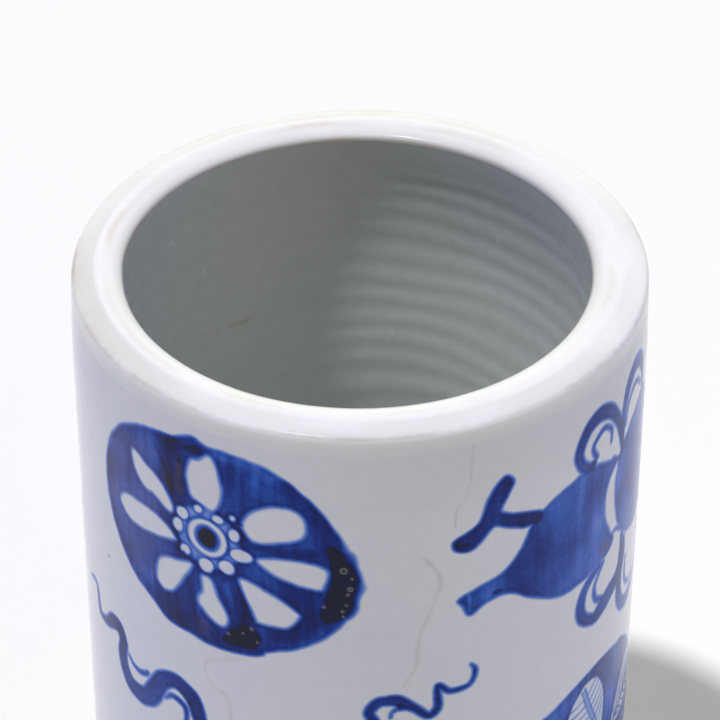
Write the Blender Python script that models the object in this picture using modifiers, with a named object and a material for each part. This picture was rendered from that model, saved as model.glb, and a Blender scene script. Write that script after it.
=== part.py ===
"""Porcelain brush pot: a thrown cylinder with a domed rim, a luted base and a turned foot ring.

The pot is fired as one ceramic. Its clay sections and its glaze coats are modelled here as the separate
solids that the potter makes and joins, a fusion gap apart. Units are metres, +Z is up, and the origin is
the centre of the foot ring's resting plane.
"""

import math

import bpy

# Driving dimensions of the pot
OUTER_R = 0.0500  # radius over the glaze, at the belly
HEIGHT = 0.1320  # from the foot's resting plane to the crest of the rim
MOUTH_R = 0.0403  # radius of the glazed mouth
FLOOR_Z = 0.0090  # height of the glazed inside floor
GLAZE = 0.0004  # thickness of a glaze coat
GAP = 0.0003  # fusion gap between two joined solids
SKIN = GLAZE + GAP  # from a glazed surface to the clay under it

# Rim: two arcs that meet level at the crest, each running into a rounded corner
RIM_DRAW_IN = 0.0004  # how much narrower the pot is at the rim than at the belly
DRAW_IN_LENGTH = 0.0150  # height over which the wall draws in below the rim
CREST_R = 0.0449  # radius of the rim's highest circle
OUTER_CORNER = 0.0015  # corner radius at the outside of the rim
OUTER_TILT = math.radians(14)  # slope of the dome where the outer corner starts
INNER_CORNER = 0.0012  # corner radius at the mouth
INNER_TILT = math.radians(20)  # slope of the dome where the mouth's corner starts
RIM_BAND_HEIGHT = 0.0050  # height of the folded rim section
RIM_GLAZE_OUTSIDE = 0.0030  # how far the rim's glaze runs down outside
RIM_GLAZE_INSIDE = 0.0040  # how far it runs down inside

# Inside wall below the mouth: each entry is a depth below the crest and the glazed radius there
WELL = (
    (0.0050, 0.0403), (0.0080, 0.0408), (0.0120, 0.0411), (0.0180, 0.04115),
    (0.0250, 0.04085), (0.0360, 0.0397), (0.0500, 0.0381), (0.0660, 0.0371),
)
WELL_FLOOR_R = 0.0370  # radius at the foot of the inside wall, where the fillet starts

# Inside corner, base and foot
FILLET = 0.0060  # radius between the inside wall and the floor
BODY_BOTTOM_Z = 0.0035  # underside of the wall and of the base disc
FOOT_OUTER_R = 0.0474  # outer edge of the resting face
FOOT_INNER_R = 0.0396  # inner edge of the resting face
FOOT_TOP_INNER_R = 0.0380  # radius of the recess where the foot meets the base
FOOT_BEVEL = 0.0017  # height of the bevel outside the resting face
GLAZE_STOP_Z = 0.0018  # bare clay shows below this height

TURN_STEPS = 64  # sides of every turned solid
CORNER_STEPS = 3  # segments in each rounded corner of the rim
DOME_STEPS = 2  # segments from the crest to each corner
FILLET_STEPS = 4  # segments in the inside fillet
MERGE = 0.00001

BISCUIT = ("porcelain_body", (0.82, 0.79, 0.73), 0.75)
FOOT_BISCUIT = ("foot_biscuit", (0.72, 0.66, 0.57), 0.85)
OUTER_GLAZE = ("outer_glaze", (0.72, 0.75, 0.80), 0.12)
RIM_GLAZE = ("rim_glaze", (0.86, 0.86, 0.83), 0.20)
INNER_GLAZE = ("inner_glaze", (0.46, 0.49, 0.48), 0.22)


def clear_scene():
    for obj in list(bpy.data.objects):
        bpy.data.objects.remove(obj)


def finish_material(finish):
    """The Principled material of one (name, colour, roughness), made once."""
    name, colour, roughness = finish
    found = bpy.data.materials.get(name)
    if found:
        return found
    made = bpy.data.materials.new(name)
    made.use_nodes = True
    shader = made.node_tree.nodes["Principled BSDF"]
    shader.inputs["Base Color"].default_value = (*colour, 1)
    shader.inputs["Roughness"].default_value = roughness
    shader.inputs["Metallic"].default_value = 0.0
    return made


def arc(centre_r, centre_z, radius, start, end, steps):
    """Points (r, z) on an arc, with angles in radians from the outward horizontal."""
    angles = [start + (end - start) * i / steps for i in range(steps + 1)]
    return [(centre_r + radius * math.cos(a), centre_z + radius * math.sin(a)) for a in angles]


def without_doubles(points):
    """The points with each one that repeats its neighbour left out."""
    kept = points[:1]
    for point in points[1:]:
        if math.dist(point, kept[-1]) > MERGE:
            kept.append(point)
    return kept


def rim_outline(inset):
    """The rim from its outside corner over the crest to the mouth, moved into the clay by inset."""
    up = math.pi / 2
    inward = up + INNER_TILT
    rim_r = OUTER_R - RIM_DRAW_IN
    outer_reach = rim_r - OUTER_CORNER * (1 - math.sin(OUTER_TILT)) - CREST_R
    outer_dome = outer_reach / math.sin(OUTER_TILT)
    inner_reach = CREST_R - MOUTH_R - INNER_CORNER * (1 - math.sin(INNER_TILT))
    inner_dome = inner_reach / math.sin(INNER_TILT)
    outer_corner_z = HEIGHT - outer_dome + (outer_dome - OUTER_CORNER) * math.cos(OUTER_TILT)
    inner_corner_z = HEIGHT - inner_dome + (inner_dome - INNER_CORNER) * math.cos(INNER_TILT)
    return without_doubles(
        arc(rim_r - OUTER_CORNER, outer_corner_z, OUTER_CORNER - inset, 0, up - OUTER_TILT, CORNER_STEPS)
        + arc(CREST_R, HEIGHT - outer_dome, outer_dome - inset, up - OUTER_TILT, up, DOME_STEPS)
        + arc(CREST_R, HEIGHT - inner_dome, inner_dome - inset, up, inward, DOME_STEPS)
        + arc(MOUTH_R + INNER_CORNER, inner_corner_z, INNER_CORNER - inset, inward, math.pi, CORNER_STEPS)
    )


def wall_outline(inset, top_z, bottom_z):
    """The outside wall from top to bottom: it draws in towards the rim and is straight below."""
    rim_r = OUTER_R - RIM_DRAW_IN
    belly_z = HEIGHT - DRAW_IN_LENGTH
    return [(rim_r - inset, top_z), (OUTER_R - inset, belly_z), (OUTER_R - inset, bottom_z)]


def cup_outline(inset, top_z):
    """The inside from the edge of the floor, round the fillet and up the swelling wall to top_z."""
    corner = arc(WELL_FLOOR_R - FILLET, FLOOR_Z + FILLET, FILLET + inset, -math.pi / 2, 0, FILLET_STEPS)
    wall = [(radius + inset, HEIGHT - depth) for depth, radius in reversed(WELL)]
    return without_doubles([*corner, *wall, (MOUTH_R + inset, top_z)])


def turned(name, profile, finish, closed=True):
    """A solid of revolution about Z. The profile runs down its outer side; an open one ends on the axis."""
    count = len(profile)
    edges = [(i, i + 1) for i in range(count - 1)] + ([(count - 1, 0)] if closed else [])
    mesh = bpy.data.meshes.new(name)
    mesh.from_pydata([(r, 0.0, z) for r, z in profile], edges, [])
    mesh.materials.append(finish_material(finish))
    obj = bpy.data.objects.new(name, mesh)
    bpy.data.collections["brush_pot"].objects.link(obj)
    screw = obj.modifiers.new("turn", "SCREW")
    screw.steps = TURN_STEPS
    screw.render_steps = TURN_STEPS
    screw.use_merge_vertices = True
    screw.merge_threshold = MERGE
    screw.use_smooth_shade = True


def disc(name, radius, bottom_z, top_z, finish):
    """A flat round slab, turned from an open profile whose ends lie on the axis."""
    turned(name, [(0, top_z), (radius, top_z), (radius, bottom_z), (0, bottom_z)], finish, closed=False)


def body_wall():
    """The thrown cylinder, with an in-turned heel that carries the fillet."""
    top_z = HEIGHT - RIM_BAND_HEIGHT
    outside = wall_outline(SKIN, top_z, BODY_BOTTOM_Z)
    turned("body_wall", outside + [(WELL_FLOOR_R - FILLET, BODY_BOTTOM_Z), *cup_outline(SKIN, top_z)], BISCUIT)


def rim_band():
    """The thick folded rim on top of the wall, domed where it was dressed."""
    bottom_z = HEIGHT - RIM_BAND_HEIGHT + GAP
    over_the_top = rim_outline(SKIN)
    outer_r = over_the_top[0][0]
    inner_r = over_the_top[-1][0]
    turned("rim_band", [(inner_r, bottom_z), *reversed(over_the_top), (outer_r, bottom_z)], BISCUIT)


def base_disc():
    """The slab luted into the heel of the wall."""
    disc("base_disc", WELL_FLOOR_R - FILLET - GAP, BODY_BOTTOM_Z, FLOOR_Z - SKIN, BISCUIT)


def foot_ring():
    """The turned foot, bare below the glaze line, with a flat resting face and a recess inside it."""
    top_z = BODY_BOTTOM_Z - GAP
    outside = [(OUTER_R - SKIN, top_z), (OUTER_R - SKIN, FOOT_BEVEL), (FOOT_OUTER_R, 0)]
    turned("foot_ring", outside + [(FOOT_INNER_R, 0), (FOOT_TOP_INNER_R, top_z)], FOOT_BISCUIT)


def outer_glaze():
    """The coat over the painted outside wall, from the bare foot to the rim's own coat."""
    top_z = HEIGHT - RIM_GLAZE_OUTSIDE - GAP
    outside = wall_outline(0, top_z, GLAZE_STOP_Z)
    turned("outer_glaze", outside + list(reversed(wall_outline(GLAZE, top_z, GLAZE_STOP_Z))), OUTER_GLAZE)


def rim_glaze():
    """The thin coat that folds over the rim."""
    outside_z = HEIGHT - RIM_GLAZE_OUTSIDE
    inside_z = HEIGHT - RIM_GLAZE_INSIDE

    def coat(inset):
        over = rim_outline(inset)
        return [(over[0][0], outside_z), *over, (over[-1][0], inside_z)]

    turned("rim_glaze", list(reversed(coat(0))) + coat(GLAZE), RIM_GLAZE)


def inner_glaze():
    """The lining of the inside: one cup of glaze over the wall, the fillet and the floor."""
    top_z = HEIGHT - RIM_GLAZE_INSIDE - GAP
    inside = [(0, FLOOR_Z), *cup_outline(0, top_z)]
    outside = [(0, FLOOR_Z - GLAZE), *cup_outline(GLAZE, top_z)]
    turned("inner_glaze", inside + list(reversed(outside)), INNER_GLAZE, closed=False)


def base_glaze():
    """The patch of glaze under the base, inside the foot ring."""
    top_z = BODY_BOTTOM_Z - GAP
    disc("base_glaze", FOOT_TOP_INNER_R - SKIN, top_z - GLAZE, top_z, OUTER_GLAZE)


def main():
    clear_scene()
    bpy.context.scene.collection.children.link(bpy.data.collections.new("brush_pot"))
    body_wall()
    rim_band()
    base_disc()
    foot_ring()
    outer_glaze()
    rim_glaze()
    inner_glaze()
    base_glaze()


main()
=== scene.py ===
"""Looks of the porcelain brush pot: painted outer glaze, domed rim, ringed lining, bare foot, floor, light.

Lengths in the painting are millimetres on the unrolled outside wall. The first number runs round the pot,
from 0 at the front (-Y) and positive towards +X, and the second runs down from the rim's outer edge.
Everything else is in metres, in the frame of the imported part.
"""

import math

import bpy
import numpy as np
from mathutils import Matrix, Vector


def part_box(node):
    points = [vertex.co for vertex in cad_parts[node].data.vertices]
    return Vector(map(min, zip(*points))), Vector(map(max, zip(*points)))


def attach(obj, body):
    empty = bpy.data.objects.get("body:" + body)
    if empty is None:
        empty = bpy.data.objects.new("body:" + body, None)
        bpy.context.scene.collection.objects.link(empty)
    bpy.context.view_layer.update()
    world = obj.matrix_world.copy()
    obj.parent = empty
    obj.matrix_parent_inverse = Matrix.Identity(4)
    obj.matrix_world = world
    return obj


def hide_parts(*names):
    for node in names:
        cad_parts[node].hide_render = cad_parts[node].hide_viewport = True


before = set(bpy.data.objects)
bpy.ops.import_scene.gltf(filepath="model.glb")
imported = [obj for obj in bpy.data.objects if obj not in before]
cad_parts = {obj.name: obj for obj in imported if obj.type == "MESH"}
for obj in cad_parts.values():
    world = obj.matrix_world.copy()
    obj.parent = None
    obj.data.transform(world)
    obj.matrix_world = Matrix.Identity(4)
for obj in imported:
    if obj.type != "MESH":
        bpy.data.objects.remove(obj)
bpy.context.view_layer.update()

MM = 0.001
TURN = 2 * math.pi
SEED = 27

# Sizes read from the frame
OUTER_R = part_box("outer_glaze")[1].x
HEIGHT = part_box("rim_glaze")[1].z
GLAZE_STOP_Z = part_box("outer_glaze")[0].z
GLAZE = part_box("base_glaze")[1].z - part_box("base_glaze")[0].z
FLOOR_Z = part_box("inner_glaze")[0].z + GLAZE
SKIRT_Z = (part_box("outer_glaze")[1].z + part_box("rim_glaze")[0].z) / 2 - 0.0005
FOOT_TOP_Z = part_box("foot_ring")[1].z
FOOT_SIDE_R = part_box("foot_ring")[1].x

# Shapes that the frame's boxes don't give
RIM_DRAW_IN = 0.0004
DRAW_IN_LENGTH = 0.0150
MOUTH_R = 0.0403
CREST_R = 0.0449
OUTER_CORNER, OUTER_TILT = 0.0010, math.radians(14)
INNER_CORNER, INNER_TILT = 0.0012, math.radians(20)
FILLET = 0.0060
FOOT_OUTER_R, FOOT_INNER_R, FOOT_TOP_INNER_R = 0.0474, 0.0396, 0.0380
FOOT_BEVEL = 0.0017
RIM_EDGE_Z = HEIGHT - 0.0005  # the rim's outer edge, from which the painting is measured
MOUTH_SHIFT = (-0.0004, -0.0001)  # the mouth was thrown a little off centre
RING_PITCH = 0.0047  # the potter's finger leaves one ring for each turn of the wheel

# The inside wall: depths below the crest and the radii there, in millimetres
WELL = ((1.5, 40.3), (4, 40.45), (8, 40.8), (12, 41.1), (18, 41.15), (25, 40.85), (36, 39.7), (50, 38.1),
        (66, 37.1), (117, 37.0))

PANELS = 8
COLUMNS = 192 * PANELS
WALL_ROWS = 500
RIM_STEP = 0.0004
LINING_COLUMNS, LINING_ROWS = 480, 200
FOOT_COLUMNS = 720


# ---------------------------------------------------------------- helpers

def smoothstep(low, high, x):
    t = np.clip((x - low) / (high - low), 0, 1)
    return t * t * (3 - 2 * t)


def bell(x, width):
    """1 at 0, falling smoothly to nothing some widths away."""
    return np.exp(-(x / width) ** 2)


def soft_noise(shape, spacing, grain, seed):
    """Noise of unit spread that joins up at its edges. Spacing and grain are (down, across)."""
    white = np.random.default_rng(seed).standard_normal(shape)
    down = np.fft.fftfreq(shape[0], spacing[0])[:, None] * grain[0]
    across = np.fft.fftfreq(shape[1], spacing[1])[None, :] * grain[1]
    field = np.real(np.fft.ifft2(np.fft.fft2(white) * np.exp(-(down ** 2 + across ** 2) * 8)))
    return field / field.std()


def curve_through(points, closed=False, step=0.5):
    """Places about step apart on a smooth curve through the points. Widths, if any, are carried along."""
    p = np.asarray(points, float)
    if closed:
        p = np.vstack([p[-1:], p, p[:2]])
    else:
        p = np.vstack([2 * p[0] - p[1], p, 2 * p[-1] - p[-2]])
    runs = []
    for a, b, c, d in zip(p[:-3], p[1:-2], p[2:-1], p[3:]):
        count = int(np.hypot(*(c - b)[:2]) / step) + 2
        t = (np.arange(count) / count)[:, None]
        cubic = (2 * a - 5 * b + 4 * c - d) * t ** 2 + (3 * b - a - 3 * c + d) * t ** 3
        runs.append(0.5 * (2 * b + (c - a) * t + cubic))
    return np.vstack(runs + ([] if closed else [p[-2:-1]]))


def inside(x, y, outline):
    """True for each place within the closed outline."""
    found = np.zeros(x.shape, bool)
    for (x0, y0), (x1, y1) in zip(outline, np.roll(outline, -1, axis=0)):
        if y0 != y1:
            crossing = x0 + (y - y0) * (x1 - x0) / (y1 - y0)
            found ^= ((y0 > y) != (y1 > y)) & (x < crossing)
    return found


def distance(x, y, line, closed=False):
    """How far each place is outside a line of the given half widths, or from a closed outline's edge."""
    best = np.full(x.shape, 99.0)
    ends = np.roll(line, -1, axis=0) if closed else line[1:]
    for a, b in zip(line, ends):
        run = b[:2] - a[:2]
        t = np.clip(((x - a[0]) * run[0] + (y - a[1]) * run[1]) / max(run @ run, 1e-9), 0, 1)
        gap = np.hypot(x - a[0] - t * run[0], y - a[1] - t * run[1])
        if len(a) > 2:
            gap = gap - (a[2] + (b[2] - a[2]) * t) / 2
        best = np.minimum(best, gap)
    return best


def depth_in(x, y, outline):
    """How far each place is from a closed outline's edge, negative within it."""
    return distance(x, y, outline, closed=True) * np.where(inside(x, y, outline), -1, 1)


def placed(centre, turn=0, size=1):
    """A function that moves points drawn round (0, 0) to their place, turned clockwise in degrees."""
    c, s = math.cos(math.radians(turn)), math.sin(math.radians(turn))

    def place(points):
        p = np.array(points, float)
        x, y = p[:, 0] * size, p[:, 1] * size
        moved = [centre[0] + c * x - s * y, centre[1] + s * x + c * y]
        return np.column_stack(moved + [p[:, i] * size for i in range(2, p.shape[1])])

    return place


def circle(centre, radius, squash=1.0, count=16):
    angles = np.arange(count) * TURN / count
    across, down = radius * np.cos(angles), radius * squash * np.sin(angles)
    return np.column_stack([centre[0] + across, centre[1] + down])


def shifted(place, down, across=0, wide=1, high=1):
    """The same placing, for points first stretched and then moved in the emblem's own frame."""
    return lambda points: place([(q[0] * wide + across, q[1] * high + down, *q[2:]) for q in points])


# ---------------------------------------------------------------- the painter's canvas

class Canvas:
    """The unrolled outside wall. ink is the cobalt's strength: 0 bare, 1 full, more where it is heaped."""

    EDGE = 0.62  # half the width over which a brush mark fades at its edge

    def __init__(self):
        self.s = (np.arange(COLUMNS) / COLUMNS - 0.5) * TURN * OUTER_R / MM
        self.z = np.linspace(SKIRT_Z, GLAZE_STOP_Z + 0.0004, WALL_ROWS)
        self.t = (RIM_EDGE_Z - self.z) / MM
        shape = (WALL_ROWS, COLUMNS)
        spacing = (self.t[1] - self.t[0], self.s[1] - self.s[0])
        self.ink = np.zeros(shape)
        self.stain = np.zeros(shape)
        self.iron = np.zeros(shape)
        self.wobble = soft_noise(shape, spacing, (1.5, 1.5), SEED)
        self.cloud = soft_noise(shape, spacing, (3.5, 3.5), SEED + 1)
        self.grain = soft_noise(shape, spacing, (0.35, 0.35), SEED + 2)
        self.streak = soft_noise(shape, spacing, (5.0, 0.5), SEED + 3)

    def window(self, line, margin):
        """The rows and columns round a line, and the places in them."""
        (s_low, t_low), (s_high, t_high) = line[:, :2].min(0) - margin, line[:, :2].max(0) + margin
        rows = np.flatnonzero((self.t >= t_low) & (self.t <= t_high))
        step = self.s[1] - self.s[0]
        columns = np.arange(math.floor((s_low - self.s[0]) / step), math.ceil((s_high - self.s[0]) / step))
        x, y = np.meshgrid(self.s[0] + columns * step, self.t[rows])
        return np.ix_(rows, columns % COLUMNS), x, y

    def region(self, points, margin, step=0.5):
        """The window round a closed outline, and how far each place in it is from the outline's edge."""
        outline = curve_through(points, closed=True, step=step)
        area, x, y = self.window(outline, margin)
        return area, depth_in(x, y, outline)

    def lay(self, area, amount):
        """Brush marks that cross grow only a little darker."""
        old = self.ink[area]
        self.ink[area] = np.maximum(old, amount) + 0.22 * np.minimum(old, amount)

    def stroke(self, points, tone, closed=False, edge=EDGE):
        """A brush mark along the points (across, down, width), a little darker at its edge."""
        line = curve_through(points, closed)
        area, x, y = self.window(line, line[:, 2].max() / 2 + 1.5)
        gap = distance(x, y, line, closed) + 0.05 * self.wobble[area]
        cover = smoothstep(edge, -edge, gap)
        shade = 1 + 0.08 * self.cloud[area] + 0.03 * self.grain[area] + 0.10 * bell(gap + 0.5, 0.35)
        self.lay(area, cover * tone * shade)

    def wash(self, points, tone, streaks=0.06, pool=0.16, edge=EDGE):
        """A filled shape with pooled edges, clouding and vertical brush streaks."""
        area, depth = self.region(points, 1.5)
        depth += 0.08 * self.wobble[area]
        shade = 1 + 0.09 * self.cloud[area] + 0.02 * self.grain[area] + streaks * self.streak[area]
        shade += pool * bell(depth + 0.7, 0.5)
        self.lay(area, smoothstep(edge, -edge, depth) * tone * shade)

    def reserve(self, points, left=0.0, edge=0.3):
        """A window left white in a wash, with a thin darker line of pooled ink round it."""
        area, depth = self.region(points, 1.5)
        depth += 0.06 * self.wobble[area]
        keep = 1 - smoothstep(edge, -edge, depth) * (1 - left)
        pool = 0.10 * bell(depth - 0.55, 0.35) * smoothstep(0.1, 0.4, self.ink[area])
        self.ink[area] = (self.ink[area] + pool) * keep

    def shade(self, points, change, edge=2.5):
        """Makes a wash darker or paler over a soft-edged region."""
        area, depth = self.region(points, edge + 0.5, step=1.0)
        self.deepen(area, depth, change, edge)

    def band(self, points, change, edge=0.8):
        """Makes a wash darker or paler along a soft-edged line of (across, down, width)."""
        line = curve_through(points, step=1.0)
        area, x, y = self.window(line, line[:, 2].max() / 2 + edge + 0.5)
        self.deepen(area, distance(x, y, line), change, edge)

    def deepen(self, area, gap, change, edge):
        painted = smoothstep(0.05, 0.45, self.ink[area])
        self.ink[area] += change * smoothstep(edge, -edge, gap + 0.2 * self.wobble[area]) * painted

    def heap(self, points, tone=1.09, edge=1.1):
        """Ink laid so thick that it fires almost black, with a lobed edge."""
        area, depth = self.region(points, 2.0)
        depth += 0.25 * self.wobble[area]
        self.ink[area] = np.maximum(self.ink[area], smoothstep(edge, -edge, depth) * tone)

    def rust(self, points, amount, edge=1.5):
        """Iron in the cobalt, which breaks through the glaze in a soft brown-black patch."""
        area, depth = self.region(points, edge + 0.5)
        depth += 0.4 * self.wobble[area] + 0.2 * self.grain[area]
        painted = smoothstep(0.05, 0.45, self.ink[area])
        self.iron[area] = np.maximum(self.iron[area], smoothstep(edge, -edge, depth) * painted * amount)

    def bubbles(self, places):
        """Burst bubbles in heaped ink: small pale rings of (across, down, radius)."""
        for place in places:
            area, x, y = self.window(np.array([place, place]), 2.0)
            ring = bell(np.hypot(x - place[0], y - place[1]) - place[2] * 0.7, 0.17)
            self.stain[area] = np.maximum(self.stain[area], ring * 0.6)

    def craze(self, points, strength, width=0.9):
        """A crack in the glaze that firing and use stained grey-brown: a fine line beside a soft band."""
        line = curve_through(points)
        area, x, y = self.window(line, 3.0)
        gap = distance(x, y, line) + 0.06 * self.grain[area]
        patchy = np.clip(0.7 + 0.4 * self.wobble[area], 0.25, 1.2)
        amount = 0.5 * bell(gap, 0.25) + 0.6 * smoothstep(width, 0, gap) * patchy
        self.stain[area] = np.maximum(self.stain[area], amount * strength)


def ribbon(canvas, points, tone, inner=()):
    """A ribbon: one broad brush mark, with a fine second line on its hollow side."""
    canvas.stroke(points, tone)
    if len(inner):
        canvas.stroke(inner, tone * 0.85)


# ---------------------------------------------------------------- emblems that face the viewer

def draw_flower_disc(canvas):
    """A round flower seen from above: a blue disc with eight white petals round a beaded boss."""
    canvas.wash([
        (-29, 5.8), (-26.4, 6.7), (-21.8, 6.6), (-15.8, 7.7), (-10.8, 10.7), (-6.4, 15.1), (-3.1, 20.1),
        (-1.2, 25.1), (0, 29), (-0.4, 33.2), (-2.4, 38.3), (-5.8, 42.2), (-10.7, 45.3), (-15.9, 47.2),
        (-17, 48.3), (-21.2, 49.1), (-26.6, 49.4), (-31.1, 48.6), (-35.4, 48.2), (-39.6, 45.7),
        (-44.6, 42.5), (-49, 36.8), (-51.6, 29.7), (-51.6, 22.3), (-49.5, 16.1), (-44.9, 10.9),
        (-38.6, 8.3), (-33.3, 7.5), (-31.2, 6.4)
    ], tone=0.73, streaks=0.05, pool=0.06)
    canvas.shade([
        (-50.6, 14.7), (-42.6, 9.7), (-36.7, 10.7), (-35.6, 22.6), (-34.6, 30.6), (-39.6, 42.6),
        (-45.6, 40.6), (-51.6, 30.7)
    ], -0.11)
    canvas.shade([(-36.7, 8.7), (-31.2, 7.7), (-31.2, 19.6), (-32.7, 21.1), (-34.7, 17.6)], 0.18, edge=1.4)
    canvas.shade([(-39.6, 41.6), (-30.6, 41.6), (-29.6, 46.6), (-34.6, 46.6)], 0.08, edge=1.5)
    canvas.band([
        (-50.4, 20, 1.4), (-50.6, 28, 1.8), (-48.4, 36, 2), (-44, 41, 2), (-38, 45, 2)
    ], 0.13, edge=1.2)
    canvas.band([(-11.8, 11, 3), (-7.8, 14.9, 4), (-5.5, 19.5, 4), (-4.2, 24.5, 4)], 0.16, edge=1.6)
    canvas.band([
        (-7.3, 13.3, 0.6), (-4.7, 17.1, 0.8), (-2.7, 21.5, 0.8), (-1.9, 24.9, 0.6)
    ], -0.20, edge=0.7)
    canvas.band([(-24.7, 7.5, 1.0), (-18.8, 7.8, 1.4), (-13.8, 9.6, 1.0)], -0.18, edge=1.0)
    canvas.band([(-14.7, 45.1, 1.0), (-9.7, 43.9, 1.4), (-6.2, 41, 1.0)], -0.16, edge=1.0)
    canvas.band([(-23.1, 34.5, 1.2), (-22.3, 38.5, 1.2), (-21.9, 41.5, 0.8)], -0.20, edge=0.7)
    canvas.band([(-20.3, 34.5, 1.4), (-19.7, 38.5, 2.0), (-19.7, 42.5, 2.2)], 0.16, edge=0.8)
    canvas.band([(-18.5, 24.9, 1.0), (-12.8, 24.5, 1.2), (-7.8, 24.1, 1.6)], 0.14, edge=0.8)
    canvas.heap([
        (-5.8, 23), (-4.2, 21.8), (-2, 23.8), (-0.3, 27.4), (-0.1, 31.4), (-1.1, 35.4), (-3, 38.2),
        (-5, 39.8), (-6.8, 39.4), (-7.6, 37), (-6.6, 33.6), (-5.6, 30), (-5.4, 26)
    ], edge=1.2)
    canvas.heap([
        (-23.7, 44.4), (-21.2, 42.4), (-18.7, 41.9), (-16.9, 43.3), (-16.6, 45.5), (-18.1, 47.5),
        (-21.7, 48.1), (-24.7, 47.3)
    ])
    canvas.heap([(-29.4, 45.1), (-27.1, 45.1), (-26.7, 47.5), (-29, 48.1)], tone=0.98)
    canvas.heap([
        (-32.8, 8.4), (-31, 7.4), (-28.8, 6.8), (-26.9, 7.4), (-26.8, 8.8), (-29, 9.8), (-31.4, 10.4),
        (-32.2, 14), (-31.8, 16.8), (-32.8, 14)
    ], tone=0.97, edge=1.0)
    petals = ([
        (-26, 8.4), (-24.5, 10.3), (-23.8, 12.6), (-23.5, 15.3), (-24.5, 18.9), (-25.7, 19.9), (-28, 18.9),
        (-29.5, 18.3), (-30.2, 16.6), (-30.6, 13.9), (-29.7, 10.5), (-28, 9.9)
    ], [
        (-19.9, 19.9), (-18.5, 17.6), (-14.8, 15.4), (-11.1, 15.4), (-9, 17.5), (-9.6, 21.2), (-14.1, 23),
        (-18, 23.7), (-19.9, 21.3)
    ], [
        (-17.4, 27.3), (-13.8, 26.2), (-8.8, 26.2), (-5.3, 27.5), (-5.8, 30.8), (-6.8, 32), (-11.5, 31.2),
        (-15.7, 29.2)
    ], [
        (-20.7, 32.5), (-18, 32.8), (-13.4, 35), (-10.3, 37.2), (-10.1, 38.5), (-12.4, 41.2), (-17, 41.1),
        (-18, 40.2), (-19.9, 35.8)
    ], [
        (-28, 34.5), (-25.9, 34.8), (-24.9, 37.8), (-22.9, 41.8), (-23.7, 44.2), (-25.7, 44), (-28.7, 41.3),
        (-29, 39.5), (-28, 37.8)
    ], [
        (-29.9, 32.9), (-31.4, 36.3), (-33.9, 40.4), (-35.6, 41.6), (-36.9, 41.6), (-38.1, 39.9),
        (-37.3, 35.4), (-33.3, 33.4)
    ], [
        (-33.2, 28.9), (-36.3, 26.4), (-41.9, 25.7), (-46.3, 26.4), (-47.4, 28.9), (-44.3, 31.3),
        (-38.6, 30.9), (-33.9, 29.6)
    ], [
        (-43.1, 15), (-39.3, 16.4), (-35.7, 18.9), (-33.5, 22.3), (-34.4, 23.9), (-37.9, 22.1),
        (-40.3, 21.8), (-42.9, 18.7)
    ])
    for petal in petals:
        canvas.reserve(petal, edge=0.8)
    draw_boss(canvas)
    canvas.stroke([(-30.7, 36.6, 0.4), (-30.2, 40.6, 0.7), (-29.6, 44.5, 0.9), (-28.6, 47.7, 0.7)], 0.84)
    canvas.stroke([(-31.9, 10.7, 0.3), (-32.1, 14.6, 0.6), (-31.5, 18.6, 0.4)], 0.84)
    canvas.stroke([
        (-37.4, 10.7, 0.2), (-35.2, 14.6, 0.4), (-34.2, 18.1, 0.4), (-33.2, 21.6, 0.2)
    ], 0.92, edge=0.4)
    canvas.bubbles([
        (-2.7, 27.3, 0.7), (-1.3, 29, 0.1), (-1.6, 31.2, 0.5), (-2, 32.4, 0.2), (-2.3, 34.7, 0.1),
        (-2.9, 36.1, 0.2), (-6, 35.3, 0.2), (-2.8, 37.2, 0.1), (-18.7, 42.8, 0.3), (-17.7, 45.5, 0.1),
        (-23.1, 45.4, 0.2), (-20.3, 44.3, 0.1)
    ])
    canvas.rust([(-47.6, 31.6), (-40.6, 32.6), (-40.6, 38.6), (-45.6, 38.6)], 0.32, edge=2.5)
    canvas.rust([
        (-51, 18), (-44, 11), (-38, 12), (-36, 24), (-37, 34), (-42, 41), (-48, 36), (-51, 28)
    ], 0.38, edge=3)
    canvas.rust([(-32.7, 12.7), (-31.7, 12.7), (-31.5, 17.6), (-32.5, 17.6)], 0.35, edge=0.8)
    canvas.rust([(-29.6, 45.1), (-27.1, 45.1), (-26.9, 47.5), (-29.2, 47.9)], 0.4, edge=1.0)
    canvas.rust([(-50.6, 26.7), (-49, 26.6), (-49, 29.6), (-50.6, 29.6)], 0.6, edge=1.0)


def draw_boss(canvas):
    """The middle of the flower: a dark eye, a white ring and a chain of white beads with fine outlines."""
    eye = (-26.7, 25.9)
    canvas.reserve(circle(eye, 6.2), left=0.30, edge=0.9)
    beads = (
        (-28.3, 20.3, 1.0, 1.0), (-24.5, 21.1, 1.3, 0.8), (-31.7, 22.6, 1.5, 1.0), (-32.7, 25.6, 1.3, 1.4),
        (-31.3, 30.3, 1.3, 1.0), (-27, 31.9, 1.7, 1.0), (-23, 30.9, 1.7, 1.0), (-20.2, 27.4, 2.3, 0.65),
        (-21.4, 23.4, 1.3, 1.2), (-21.7, 19.8, 0.9, 1.0),
    )
    for s, t, radius, squash in beads:
        outline = circle((s, t), radius, squash, count=10)
        canvas.stroke([(*p, 0.3) for p in outline], 0.62, closed=True, edge=0.4)
        canvas.reserve(circle((s, t), radius - 0.25, squash), left=0.04, edge=0.4)
    canvas.reserve(circle(eye, 3.7), edge=0.4)
    canvas.stroke([(*p, 0.4) for p in circle(eye, 4.2)], 0.68, closed=True, edge=0.45)
    canvas.stroke([(*p, 0.8) for p in circle(eye, 2.1, 1.1)], 0.50, closed=True, edge=0.6)
    canvas.wash(circle(eye, 1.9, 1.1), 0.96, edge=0.6)
    for s, t in ((-20.5, 20.4), (-28.7, 30.3), (-19.1, 23.6), (-31.9, 31.6)):
        canvas.heap(circle((s, t), 0.5, count=8), tone=0.92, edge=0.5)


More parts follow.
